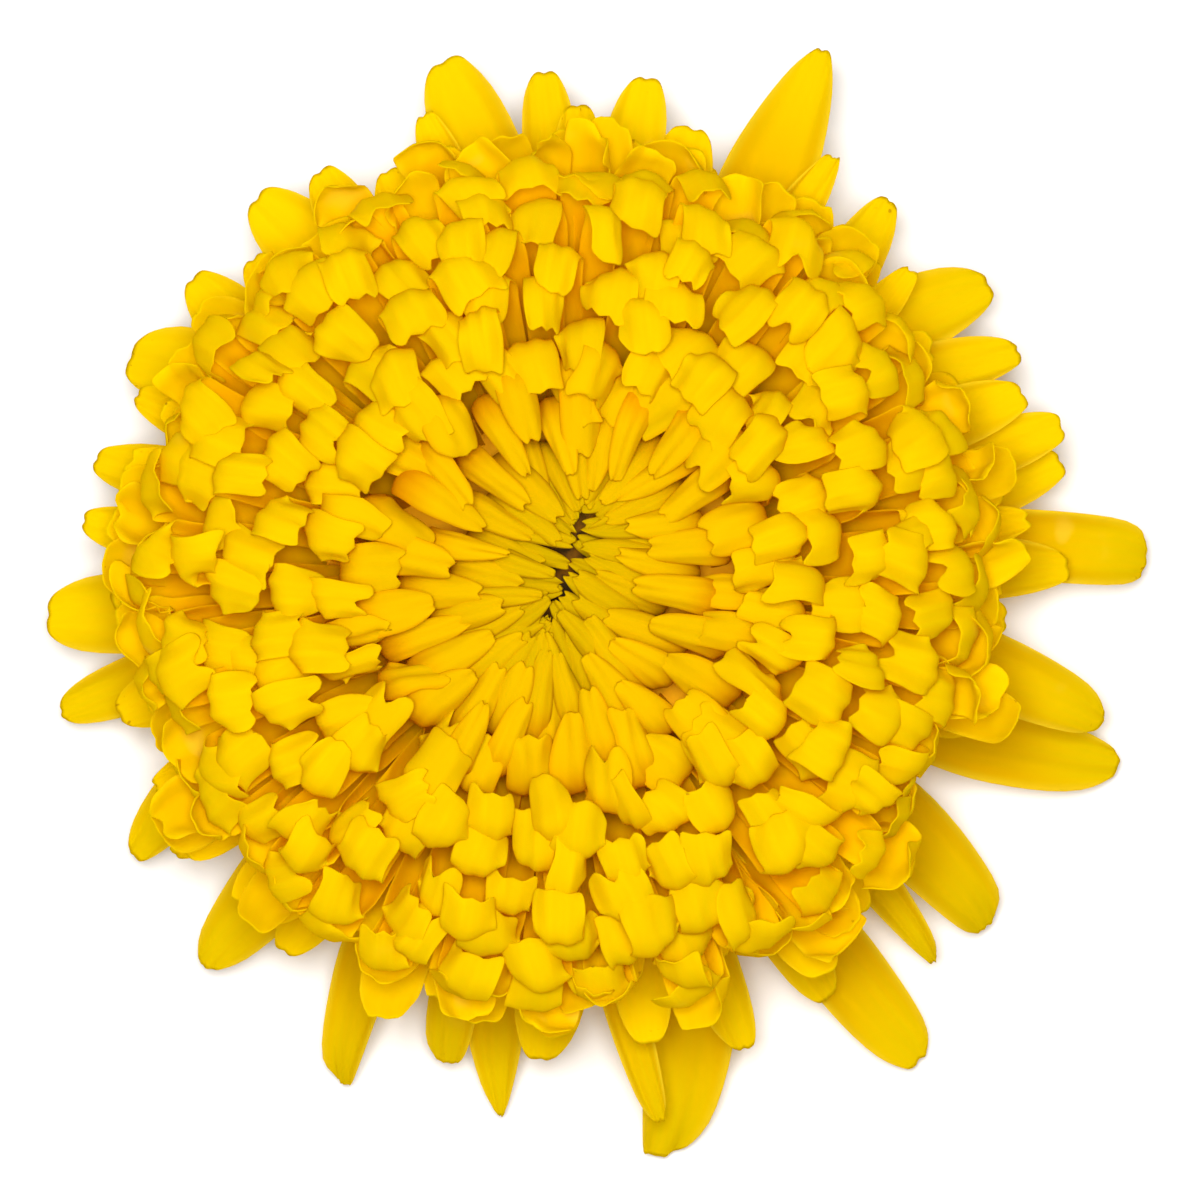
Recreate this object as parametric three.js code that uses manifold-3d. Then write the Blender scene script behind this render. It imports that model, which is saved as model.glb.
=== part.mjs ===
// A large yellow disbud chrysanthemum, cut just under its head and lying on its back, face up.
// Millimetres, +Z up. The head lies on z = 0, and the origin is under the middle of its box.
//
// It is three grown pieces: the ray florets, packed round a small core; the involucre, which is
// the receptacle with its green bracts; and the short cut stem.
import * as THREE from "three";
import { mergeVertices } from "three/addons/utils/BufferGeometryUtils.js";
import Module from "manifold-3d";

const wasm = await Module();
wasm.setup();

// Driving dimensions of the florets
const DOME_REACH = 57; // from the axis to the tips of the outermost packed florets
const DOME_SPAN = 61; // where the dome's own curve would stand upright
const LIP_REACH = 29; // the ring of highest tips, round the shallow bowl of the eye
const LIP_HEIGHT = 64;
const EYE_HEIGHT = 57; // where the youngest florets meet, at the bottom of the bowl
const EQUATOR_HEIGHT = 26;
const EYE_SLIT = 3.2; // half the length of the slit that the youngest florets close on
const EYE_SLIT_BEARING = 72;
const EYE_SLIT_FADE = 6; // how far from the axis the slit is still felt
const SEAT_HEIGHT = 24; // the florets' own foot, just above the receptacle
const SEAT_RADIUS = 9;
const FLORET_THICKNESS = 0.8; // along its middle
const LONG_REACH = 64; // outer florets longer than this stand clear of the others

// Driving dimensions of the calyx and stem
const CLEARANCE = 0.3; // between one piece and the next
const CUP_BOTTOM = 12;
const CUP_RADIUS = 10.4;
const NECK_RADIUS = 4.6;
const BRACT_LIFT = 0.5;
const BRACT_THICKNESS = 0.7;
const STEM_RADIUS = 3.6;
const STEM_RIBS = 10;
const STEM_RIB_DEPTH = 0.07; // as a share of its radius

// The packed florets stand on a golden-angle spiral that is counted from the eye.
const DOME_FLORETS = 150;
const INNER_FLORETS = 40; // those that lean over the eye
const INNER_REACH = 23;
const SPIRAL_GROWTH = 0.67;
const GOLDEN_ANGLE = 180 * (3 - Math.sqrt(5));

// How the packed florets change from the eye to the rim: [reach of the tip, value] pairs
const LEAN = [[0, 4], [12, 8], [24, 15], [36, 36], [48, 60], [57, 80]];
const HOOK = [[0, 100], [12, 112], [22, 112], [27, 95], [38, 80], [48, 55], [57, 25]];
const BEND = [[0, 5], [20, 6], [27, 4], [57, 4.5]];
const END = [[0, 4], [20, 5.5], [27, 3.6], [45, 3.6], [57, 3]];
const WIDTH = [[0, 3.2], [10, 4.8], [20, 6.4], [27, 7.4], [40, 8], [57, 8.4]];
const CUP = [[0, 0.35], [20, 0.4], [30, 0.5], [45, 0.45], [57, 0.35]];
const ROUGHNESS = [[0, 0.4], [20, 0.8], [28, 2.6], [57, 2.4]]; // how far tips stand off the dome

// The long outer florets one by one, round from +X towards +Y:
// [bearing of the tip, reach, width, swing of the foot in degrees, height of the tip, point, curl]
// A point of 0 is a blunt tip and 1 a sharp one. Curl is in degrees, up if positive.
const OUTER_FLORETS = [
  [1, 70.5, 8.4, 6, 8, 0.2, -35],
  [3.5, 63.2, 7.2, 1, 19, 0.3, 20],
  [8, 57.4, 6.5, -2, 30, 0.3, 45],
  [12.5, 61.8, 7, -4, 21, 0.2, 20],
  [17.5, 62.4, 7.6, 2, 28, 0.1, 35],
  [22.5, 59.6, 7.4, 2, 31, 0.2, 20],
  [27, 61.5, 6.2, 3, 24, 0.35, 0],
  [33.5, 63.4, 8.6, 4, 20, 0.3, -10],
  [42, 56.4, 6, -3, 31, 0.5, 30],
  [49.5, 60.6, 7, -3, 22, 0.4, 0],
  [57.5, 60.6, 6, 2, 34, 0.5, 40],
  [65.5, 72.4, 10.6, -2, 24, 0.75, 5],
  [73.5, 56.4, 7.2, 2, 34, 0.2, 30],
  [80.5, 61.8, 7, -1, 26, 0.15, 10],
  [86, 58.4, 6.6, 0, 30, 0.25, 0],
  [92, 61.4, 7.2, 1, 24, 0.2, 10],
  [103, 65, 9, -6, 26, 0.1, 25],
  [109.5, 57, 6.6, -3, 32, 0.3, 30],
  [114.5, 53.6, 7.2, 2, 28, 0.2, 20],
  [120.5, 57, 7.4, 1, 31, 0.3, 10],
  [128.5, 59.6, 9.2, -2, 25, 0.1, 15],
  [135, 54.6, 6.4, 0, 32, 0.2, 20],
  [140.5, 57.4, 7.4, 0, 25, 0.3, 5],
  [153, 58.8, 9.6, -5, 18, 0.6, -10],
  [158.5, 55.5, 6.6, 0, 28, 0.2, 0],
  [166.5, 58, 6.8, -1, 20, 0.3, 0],
  [172.5, 58.2, 6.2, 2, 29, 0.4, 0],
  [182, 62, 9.2, 1, 19, 0, 10],
  [193.5, 62.6, 6.4, -2, 10, 0.3, -10],
  [198, 55.4, 8.4, -2, 22, 0.2, 0],
  [205, 53.4, 6.4, 2, 30, 0.3, 20],
  [212.5, 60.8, 7, -5, 10, 0.3, -10],
  [216.5, 56.6, 6.4, 3, 25, 0.5, 20],
  [225.5, 62.6, 8.6, -3, 9, 0.4, -20],
  [233, 55.8, 7.8, 0, 21, 0.2, 10],
  [246.5, 65.8, 6.4, -8, 4, 0.4, -45],
  [255, 59.6, 4.4, -6, 10, 0.5, -30],
  [263.5, 66, 7.2, -2, 5, 1, -20],
  [269, 57.6, 7.6, 2, 21, 0.3, 0],
  [278.5, 70.6, 10.4, 9, 3, 0.6, -30],
  [280.5, 63.2, 5, -5, 15, 0.3, -20],
  [291.5, 60.8, 5.4, -2, 20, 0.3, 0],
  [300, 60, 7.6, 2, 16, 0.2, 0],
  [305.5, 71.6, 9.6, -1, 4, 0.3, -15],
  [311.5, 65.4, 3.4, 6, 11, 0.5, -30],
  [319.5, 65.4, 8.6, 8, 6, 0.1, -40],
  [341.5, 70.8, 7.6, -6, 5, 0.2, -15],
  [345.5, 68.4, 7.6, 8, 15, 0.3, -30],
  [355.5, 54.2, 6.4, 2, 29, 0.1, 30],
];

// Whole rings of florets below the spiral, from the side of the dome down to the reflexed skirt
// that the head lies on:
// [how many, reach, height of the tip, width, lean of the end, curl, lean of the foot]
const RINGS = [
  [14, 54, 37, 9.5, 80, 20, 52],
  [13, 54, 26, 9.5, 94, 20, 58],
  [12, 51, 10, 8.8, 116, 22, 76],
  [14, 46, 0.2, 8.6, 126, 22, 86],
];

// Where the sections of a floret stand, and how broad it is at each: [part, share of it, breadth]
const INNER_SECTIONS = [
  ["stalk", 0.62, 0.5],
  ["hook", 0.1, 1],
  ["hook", 0.7, 1],
  ["tip", 0, 0.25],
];
const PACKED_SECTIONS = [
  ["stalk", 0.55, 0.35],
  ["hook", 0, 1],
  ["hook", 0.55, 1],
  ["hook", 1, 0.95],
  ["tip", 0, 0.5],
];
const OUTER_SECTIONS = [
  ["stalk", 0.2, 0.3],
  ["stalk", 0.65, 0.9],
  ["hook", 0, 1],
  ["hook", 1, 0.85],
  ["tip", 0, 0.5],
];
const RING_SECTIONS = [
  ["stalk", 0.12, 0.35],
  ["stalk", 0.55, 0.9],
  ["hook", 0.3, 1],
  ["tip", 0, 0.5],
];

// The small body that the florets' blades stand out of, as [radius, height] from the axis
const CORE_PROFILE = [
  [0, SEAT_HEIGHT],
  [SEAT_RADIUS, SEAT_HEIGHT],
  [19, 26],
  [29, 33],
  [35, 41],
  [36, 47],
  [29, 53],
  [12, 51],
  [0, 50],
];

// Rows of bracts up the receptacle: [how many, height of the tip, width]
const BRACT_ROWS = [
  [9, 18.4, 5],
  [11, 21, 5.4],
  [13, 23.3, 5.6],
];
const BRACT_SECTIONS = [[0, 0.7], [0.4, 1], [0.75, 0.85], [1, 0.2]]; // [share of it, breadth]

const STEM_PROFILE = [
  [0, 0],
  [STEM_RADIUS, 0],
  [STEM_RADIUS - 0.1, 6],
  [STEM_RADIUS + 0.3, 9.5],
  [NECK_RADIUS - 0.2, CUP_BOTTOM - CLEARANCE],
  [0, CUP_BOTTOM - CLEARANCE],
];

const rad = THREE.MathUtils.degToRad;
const AXIS = new THREE.Vector2(0, 0);

// A fixed draw between -size and size for floret i. Each use has its own number k.
function jitter(i, k, size) {
  const x = Math.sin(i * 12.9898 + k * 78.233) * 43758.5453;
  return (2 * (x - Math.floor(x)) - 1) * size;
}

// The value at x of a line through [x, value] pairs.
function along(pairs, x) {
  const next = pairs.findIndex(([at]) => at > x);
  if (next === 0) return pairs[0][1];
  if (next < 0) return pairs[pairs.length - 1][1];
  const [[x0, y0], [x1, y1]] = [pairs[next - 1], pairs[next]];
  return y0 + ((y1 - y0) * (x - x0)) / (x1 - x0);
}

// Height of the dome that the tips of the packed florets lie on.
function domeHeight(reach) {
  if (reach < LIP_REACH) {
    const u = reach / LIP_REACH;
    return EYE_HEIGHT + (LIP_HEIGHT - EYE_HEIGHT) * u * u * (3 - 2 * u);
  }
  const u = (reach - LIP_REACH) / (DOME_SPAN - LIP_REACH);
  return EQUATOR_HEIGHT + (LIP_HEIGHT - EQUATOR_HEIGHT) * Math.sqrt(1 - u * u);
}

// Floret i of the spiral. The younger it is, the more upright it stands and the further it hooks.
function domeFloret(i) {
  const even = INNER_REACH * ((i + 0.5) / INNER_FLORETS) ** SPIRAL_GROWTH;
  const inner = even < LIP_REACH - 4;
  const reach = Math.min(DOME_REACH, Math.max(0.8, even + jitter(i, 1, inner ? 0.5 : 1.4)));
  const bearing = i * GOLDEN_ANGLE + jitter(i, 2, 2);
  const rough = along(ROUGHNESS, reach);
  const depth = Math.sqrt(i / DOME_FLORETS);
  const across = rad(bearing - EYE_SLIT_BEARING);
  const pull = EYE_SLIT * Math.exp(-reach / EYE_SLIT_FADE) * Math.cos(across);
  const tip = new THREE.Vector2(pull, 0).rotateAround(AXIS, -across);
  return {
    bearing,
    reach: reach + tip.x,
    aside: tip.y + jitter(i, 8, inner ? 0.04 : 0.03) * reach,
    height: domeHeight(reach) + jitter(i, 3, rough) - rough / 2,
    lean: along(LEAN, reach) + jitter(i, 4, 5),
    hook: along(HOOK, reach) + jitter(i, 5, 15),
    bend: along(BEND, reach),
    end: along(END, reach),
    width: along(WIDTH, reach) * (1 + jitter(i, 6, 0.1)),
    cup: along(CUP, reach),
    point: inner ? 0.8 : 0.1,
    roll: jitter(i, 7, inner ? 8 : 20),
    foot: [depth * (SEAT_RADIUS - 1), SEAT_HEIGHT + 1.5],
    footLean: 80 * depth,
    sections: inner ? INNER_SECTIONS : PACKED_SECTIONS,
  };
}

function outerFloret([bearing, reach, width, swing, height, point, curl], i) {
  return {
    bearing: bearing + swing,
    reach: reach * Math.cos(rad(swing)),
    aside: -reach * Math.sin(rad(swing)),
    height,
    lean: 110 - height / 2,
    hook: curl,
    bend: 8,
    end: 3,
    width,
    cup: 0.3,
    point,
    roll: jitter(i, 9, 12),
    foot: [SEAT_RADIUS - 1, SEAT_HEIGHT + 2.5],
    footLean: 78 - height,
    sections: OUTER_SECTIONS,
    trough: reach > LONG_REACH,
  };
}

function ringFloret([count, reach, height, width, lean, hook, footLean], row, i) {
  const reached = reach + jitter(i, 12 + row, 2);
  return {
    bearing: ((i + row / 2) * 360) / count + jitter(i, 10 + row, 3),
    reach: reached,
    aside: jitter(i, 18 + row, 0.05) * reached,
    height: height + Math.max(0, jitter(i, 14 + row, 2)),
    lean,
    hook,
    bend: 10,
    end: 3,
    width,
    cup: 0.25,
    point: 0.3,
    roll: jitter(i, 16 + row, 8),
    foot: [SEAT_RADIUS - 1, SEAT_HEIGHT + 2.5 - row / 2],
    footLean,
    sections: RING_SECTIONS,
  };
}

// The line of a floret in its upright plane: a stalk from foot to knee, a round hook, and the end.
function sideLine(f) {
  const [start, stop] = [rad(f.lean), rad(f.lean - f.hook)];
  const turn = f.hook < 0 ? f.bend : -f.bend;
  const hookBy = (heading) => [
    turn * (Math.cos(start) - Math.cos(heading)),
    turn * (Math.sin(heading) - Math.sin(start)),
  ];
  const [hookOut, hookUp] = hookBy(stop);
  const knee = [
    f.reach - hookOut - f.end * Math.sin(stop),
    f.height - hookUp - f.end * Math.cos(stop),
  ];
  const span = Math.hypot(knee[0] - f.foot[0], knee[1] - f.foot[1]);
  const from = [Math.sin(rad(f.footLean)), Math.cos(rad(f.footLean))];
  const to = [Math.sin(start), Math.cos(start)];
  const curve = new THREE.CubicBezierCurve(
    new THREE.Vector2(...f.foot),
    new THREE.Vector2(f.foot[0] + from[0] * span * 0.35, f.foot[1] + from[1] * span * 0.35),
    new THREE.Vector2(knee[0] - to[0] * span * 0.4, knee[1] - to[1] * span * 0.4),
    new THREE.Vector2(...knee),
  );
  return {
    stalk: (share) => curve.getPoint(share),
    hook: (share) => {
      const [out, up] = hookBy(start + (stop - start) * share);
      return new THREE.Vector2(knee[0] + out, knee[1] + up);
    },
    tip: () => new THREE.Vector2(f.reach, f.height),
  };
}

// One floret as a closed blade. It sways aside the more, the nearer it comes to its tip.
function floretBlade(f) {
  const line = sideLine(f);
  const flat = f.sections.map(([part, share]) => line[part](share));
  const steps = flat.map((p, j) => p.distanceTo(j ? flat[j - 1] : line.stalk(0)));
  const total = steps.reduce((a, b) => a + b);
  const last = flat.length - 1;
  let run = 0;
  const spine = flat.map((p, j) => {
    run += steps[j];
    return new THREE.Vector3(p.x, f.aside * (run / total) ** 2.2, p.y);
  });
  const blunt = (j) => 1 - f.point * (j === last ? 0.75 : j === last - 1 ? 0.3 : 0);
  const halves = f.sections.map(([, , breadth], j) => (f.width / 2) * breadth * blunt(j));
  return keeledBlade(spine, halves, FLORET_THICKNESS, f).rotateZ(rad(f.bearing));
}

// One bract, which hugs the receptacle and stands off it a little at its tip.
function bractBlade([count, top, width], row, i) {
  const foot = CUP_BOTTOM + 1 + row;
  const spine = BRACT_SECTIONS.map(([share]) => {
    const height = foot + (top - foot) * share;
    return new THREE.Vector3(cupRadius(height) + BRACT_LIFT * (1 + share ** 3), 0, height);
  });
  const halves = BRACT_SECTIONS.map(([, breadth]) => (width / 2) * breadth);
  const bearing = ((i + row / 2) * 360) / count + jitter(i, 30 + row, 2);
  return keeledBlade(spine, halves, BRACT_THICKNESS, { cup: 0.35 }).rotateZ(rad(bearing));
}

// A blade along a spine that leaves the axis towards +X: keeled on its back, and on its inner face
// flat, or with a trough that runs along it.
function keeledBlade(spine, halves, thickness, { cup, roll = 0, trough = false }) {
  const last = spine.length - 1;
  const rings = spine.map((at, j) => {
    const way = spine[Math.min(j + 1, last)].clone().sub(spine[Math.max(j - 1, 0)]).normalize();
    const side = new THREE.Vector3(0, 1, 0).addScaledVector(way, -way.y).normalize();
    side.applyAxisAngle(way, (rad(roll) * j) / last);
    const inward = new THREE.Vector3().crossVectors(way, side);
    const place = (aside, up) => at.clone().addScaledVector(side, aside).addScaledVector(inward, up);
    const edge = cup * halves[j];
    const ring = [place(-halves[j], edge), place(0, -thickness / 2), place(halves[j], edge)];
    return trough ? [...ring, place(0, thickness / 2)] : ring;
  });
  return loft(rings);
}

// Joins rings of three or four points into a closed blade, its diagonals alike on both sides.
function loft(rings) {
  const size = rings[0].length;
  const top = size * (rings.length - 1);
  const faces = [];
  for (let a = 0; a < top; a += size) {
    for (let k = 0; k < size; k++) {
      const next = (k + 1) % size;
      const [p, q, r, t] = [a + k, a + next, a + size + next, a + size + k];
      if (k % 2) faces.push(p, q, t, q, r, t);
      else faces.push(p, q, r, p, r, t);
    }
  }
  if (size === 3) faces.push(0, 2, 1, top, top + 1, top + 2);
  else faces.push(0, 3, 1, 1, 3, 2, top, top + 1, top + 3, top + 1, top + 2, top + 3);
  const made = new THREE.BufferGeometry();
  const places = rings.flat().flatMap((p) => p.toArray());
  made.setAttribute("position", new THREE.Float32BufferAttribute(places, 3));
  made.setIndex(faces);
  return made;
}

// A closed three.js geometry as a solid for joining and cutting. A shape drawn inside out is turned.
function solid(geometry) {
  const bare = geometry.clone();
  bare.deleteAttribute("normal");
  bare.deleteAttribute("uv");
  const merged = mergeVertices(bare, 1e-4);
  const vertProperties = merged.attributes.position.array;
  const build = (triVerts) =>
    new wasm.Manifold(new wasm.Mesh({ numProp: 3, vertProperties, triVerts }));
  const order = new Uint32Array(merged.index.array);
  const made = build(order);
  return made.volume() > 0 ? made : build(order.reverse());
}

// The outer body of a joined solid. Sealed hollows in it are filled, and loose scraps are dropped.
function oneBody(joined) {
  const bodies = joined.decompose().filter((body) => body.volume() > 0);
  return bodies.reduce((a, b) => (a.volume() > b.volume() ? a : b));
}

function toGeometry(made) {
  const { numVert, numProp, vertProperties, triVerts } = made.getMesh();
  const places = [];
  for (let i = 0; i < numVert; i++)
    places.push(...vertProperties.subarray(i * numProp, i * numProp + 3));
  const geometry = new THREE.BufferGeometry();
  geometry.setAttribute("position", new THREE.Float32BufferAttribute(places, 3));
  geometry.setIndex(Array.from(triVerts));
  geometry.computeVertexNormals();
  return geometry;
}

// A closed shape turned round the axis from [radius, height] pairs that start and end on it.
function turned(profile, sides) {
  const outline = profile.map(([radius, height]) => new THREE.Vector2(radius, height));
  return new THREE.LatheGeometry(outline, sides).rotateX(Math.PI / 2);
}

// Radius of the receptacle, which swells from the neck like a quarter of an ellipse.
function cupRadius(height) {
  const u = (height - CUP_BOTTOM) / (SEAT_HEIGHT - CLEARANCE - CUP_BOTTOM);
  return NECK_RADIUS + (CUP_RADIUS - NECK_RADIUS) * Math.sqrt(1 - (1 - u) ** 2);
}

function rayFlorets() {
  const florets = [];
  for (let i = 0; i < DOME_FLORETS; i++) florets.push(domeFloret(i));
  OUTER_FLORETS.forEach((row, i) => florets.push(outerFloret(row, i)));
  RINGS.forEach((ring, row) => {
    for (let i = 0; i < ring[0]; i++) florets.push(ringFloret(ring, row, i));
  });
  const blades = florets.map((f) => solid(floretBlade(f)));
  const joined = wasm.Manifold.union([solid(turned(CORE_PROFILE, 20)), ...blades]);
  const underTheHead = solid(new THREE.BoxGeometry(200, 200, 40).translate(0, 0, -20));
  return toGeometry(oneBody(joined.subtract(underTheHead)));
}

function involucre() {
  const top = SEAT_HEIGHT - CLEARANCE;
  const wall = [0, 0.08, 0.25, 0.55, 1].map((share) => {
    const height = CUP_BOTTOM + (top - CUP_BOTTOM) * share;
    return [cupRadius(height), height];
  });
  const cup = solid(turned([[0, CUP_BOTTOM], ...wall, [0, top]], 24));
  const bracts = BRACT_ROWS.flatMap((bractRow, row) =>
    Array.from({ length: bractRow[0] }, (_, i) => solid(bractBlade(bractRow, row, i))),
  );
  return toGeometry(oneBody(wasm.Manifold.union([cup, ...bracts])));
}

// The stem's stub, with shallow ribs along it and a square cut end that it stands on.
function cutStem() {
  const stem = turned(STEM_PROFILE, 2 * STEM_RIBS);
  const place = stem.attributes.position;
  for (let i = 0; i < place.count; i++) {
    const angle = Math.atan2(place.getY(i), place.getX(i));
    const rib = 1 + STEM_RIB_DEPTH * Math.cos(STEM_RIBS * angle);
    place.setXY(i, place.getX(i) * rib, place.getY(i) * rib);
  }
  return toGeometry(solid(stem));
}

function subPart(name, geometry, color, roughness) {
  const material = new THREE.MeshStandardMaterial({ color, roughness, metalness: 0 });
  const mesh = new THREE.Mesh(geometry, material);
  mesh.name = name;
  return mesh;
}

const head = new THREE.Group();
head.add(subPart("ray_florets", rayFlorets(), 0xf5cc00, 0.55));
head.add(subPart("involucre", involucre(), 0x6f8f3a, 0.6));
head.add(subPart("stem", cutStem(), 0x7d9a45, 0.6));

// The middle of the head's box is not quite on the axis, because the outer florets differ.
const middle = new THREE.Box3().setFromObject(head).getCenter(new THREE.Vector3());
head.children.forEach((piece) => piece.position.set(-middle.x, -middle.y, 0));

export default head;
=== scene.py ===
# %% [markdown]
# A disbud chrysanthemum is one large bloom on one stem. What looks like a single flower is a head of
# several hundred ray florets, and each of them is a small petal with its own length, lean and curl.
# This lesson makes one flat blank for each kind of floret, copies it along a spiral, and lays every
# copy along its own line. Lengths are written in millimetres and turned into metres at the end.

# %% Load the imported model
import math

import bpy
import numpy as np
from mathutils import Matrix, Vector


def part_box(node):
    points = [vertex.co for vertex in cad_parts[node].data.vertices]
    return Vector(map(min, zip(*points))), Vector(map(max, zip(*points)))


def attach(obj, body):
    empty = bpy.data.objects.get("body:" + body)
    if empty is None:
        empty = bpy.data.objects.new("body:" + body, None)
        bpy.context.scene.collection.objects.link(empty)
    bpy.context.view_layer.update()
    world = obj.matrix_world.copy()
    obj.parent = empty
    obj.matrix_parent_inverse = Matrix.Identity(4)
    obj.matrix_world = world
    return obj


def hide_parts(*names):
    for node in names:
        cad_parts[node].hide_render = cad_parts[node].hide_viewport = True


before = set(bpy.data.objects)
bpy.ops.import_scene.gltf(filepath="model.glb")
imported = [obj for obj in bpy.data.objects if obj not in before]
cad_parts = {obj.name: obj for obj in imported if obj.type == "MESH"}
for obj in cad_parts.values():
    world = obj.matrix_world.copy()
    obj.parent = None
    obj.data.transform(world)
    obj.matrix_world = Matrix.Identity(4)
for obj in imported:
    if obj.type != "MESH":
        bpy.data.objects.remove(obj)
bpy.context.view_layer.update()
bpy.ops.object.select_all(action="DESELECT")
MM = 0.001
stem_low, stem_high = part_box("stem")
AXIS = (np.array(stem_low) + np.array(stem_high)) / 2 / MM

# %% [markdown]
# The photograph looks straight down on the face of the bloom, from far enough away that near and far
# petals keep nearly the same scale. A long lens does the same here. The floor is plain and pale. An
# even sky fills in the shadows, and a small softbox high above, a little to the upper left, shines
# down into the gaps between the petals. That makes the gaps glow orange, where a large softbox would
# leave them dull.

# %% Camera
SENSOR_WIDTH = 36
VIEW_WIDTH = 144
VIEW_PLANE = 16  # height at which the view is that wide
CAMERA_HEIGHT = 1200  # above that plane
CLIP_END = 10
camera = bpy.data.objects.new("camera", bpy.data.cameras.new("camera"))
bpy.context.collection.objects.link(camera)
camera.data.sensor_width = SENSOR_WIDTH
camera.data.lens = SENSOR_WIDTH * CAMERA_HEIGHT / VIEW_WIDTH
camera.data.clip_end = CLIP_END
camera.location = (0, 0, (CAMERA_HEIGHT + VIEW_PLANE) * MM)
bpy.context.scene.camera = camera
print("lens", camera.data.lens, "mm")

# %% Floor and light
# Sizes and places are in metres here, the power is in watts and the tilt in degrees.
FLOOR_SIZE = 4
FLOOR_COLOR = (0.96, 0.96, 0.96, 1)
FLOOR_ROUGHNESS = 0.9
SKY_COLOR = (1, 1, 1, 1)
SKY_STRENGTH = 0.3
SOFTBOX_SIZE = 0.2
SOFTBOX_POWER = 9.6
SOFTBOX_PLACE = (-0.02, 0.035, 0.9)
SOFTBOX_TILT = (-2.2, -1.3, 0)

bpy.ops.mesh.primitive_plane_add(size=FLOOR_SIZE)
floor = bpy.context.object
floor.name = "floor"
floor_paint = bpy.data.materials.new("floor")
floor_paint.use_nodes = True
floor_shader = floor_paint.node_tree.nodes["Principled BSDF"]
floor_shader.inputs["Base Color"].default_value = FLOOR_COLOR
floor_shader.inputs["Roughness"].default_value = FLOOR_ROUGHNESS
floor.data.materials.append(floor_paint)

sky = bpy.data.worlds.new("studio")
bpy.context.scene.world = sky
sky.use_nodes = True
background = sky.node_tree.nodes["Background"]
background.inputs["Color"].default_value = SKY_COLOR
background.inputs["Strength"].default_value = SKY_STRENGTH

softbox = bpy.data.objects.new("softbox", bpy.data.lights.new("softbox", "AREA"))
bpy.context.collection.objects.link(softbox)
softbox.data.size = SOFTBOX_SIZE
softbox.data.energy = SOFTBOX_POWER
softbox.location = SOFTBOX_PLACE
softbox.rotation_euler = [math.radians(angle) for angle in SOFTBOX_TILT]
bpy.context.scene.view_settings.view_transform = "Standard"
print("softbox", SOFTBOX_POWER, "W, sky", SKY_STRENGTH)

# %% [markdown]
# The shape of the whole bloom comes first: a shallow bowl at the eye, a rounded lip of the highest
# tips, and sides that fall away to the spreading florets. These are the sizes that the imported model
# was made from, so the fine florets take the same room. Real florets are never quite alike, so each
# gets small draws of its own. They come from its number, so that every run grows the same bloom.

# %% Sizes of the bloom
DOME_REACH = 57
DOME_SPAN = 61
LIP_REACH = 29
LIP_HEIGHT = 64
EYE_HEIGHT = 57
EQUATOR_HEIGHT = 26
SEAT_HEIGHT = 24
SEAT_RADIUS = 9
GOLDEN_ANGLE = 180 * (3 - math.sqrt(5))
FOOT_RADIUS = SEAT_RADIUS - 1  # the florets' feet stand just inside the rim of the seat
DRAW_STEP = 12.9898  # these three turn two plain numbers into one that seems drawn by chance
DRAW_SKIP = 78.233
DRAW_SPREAD = 43758.5453


def draw(i, k, size):
    """A fixed draw between -size and size for floret i. The number k tells its draws apart."""
    x = math.sin(i * DRAW_STEP + k * DRAW_SKIP) * DRAW_SPREAD
    return (2 * (x - math.floor(x)) - 1) * size


def along(pairs, x):
    """The value at x of a line through (x, value) pairs."""
    return float(np.interp(x, *zip(*pairs)))


def dome_height(reach):
    """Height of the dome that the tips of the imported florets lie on."""
    if reach < LIP_REACH:
        u = reach / LIP_REACH
        return EYE_HEIGHT + (LIP_HEIGHT - EYE_HEIGHT) * u * u * (3 - 2 * u)
    u = (reach - LIP_REACH) / (DOME_SPAN - LIP_REACH)
    return EQUATOR_HEIGHT + (LIP_HEIGHT - EQUATOR_HEIGHT) * math.sqrt(max(0, 1 - u * u))


print("dome", [round(dome_height(reach), 1) for reach in (0, LIP_REACH, DOME_REACH)], "mm high")

# %% [markdown]
# A real floret is a thin strap. Each could be sculpted by itself, but there are hundreds, so a few
# flat blanks are cut and then copied. A blank is one unit long and two wide, and starts as a grid.
# Its rows are drawn in one by one with a resize, and its tip is cut by pulling single points back.
# Young florets end in a point, hooded ones in a blunt tip with a cleft or two notches, and long ones
# in a rounded tip.

# %% Flat blanks
ROWS = 10
COLUMN_WINDOW = 0.05  # a point this near to a column's place is on that column
ROW_WINDOW = 0.3  # and one this near to a row's place, as a share of the gap, is on that row
UNCUT_TIP = 0.99  # the tip's points lie above this before it is cut
CUT_TIP = 0.901  # and above this afterwards, but for the deepest notches


def select_points(mesh, wanted):
    """Selects the points of a mesh, in edit mode, for which wanted(x, y) is true."""
    bpy.ops.mesh.select_all(action="DESELECT")
    bpy.ops.object.mode_set(mode="OBJECT")
    for point in mesh.vertices:
        point.select = wanted(point.co.x, point.co.y)
    bpy.ops.object.mode_set(mode="EDIT")


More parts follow.
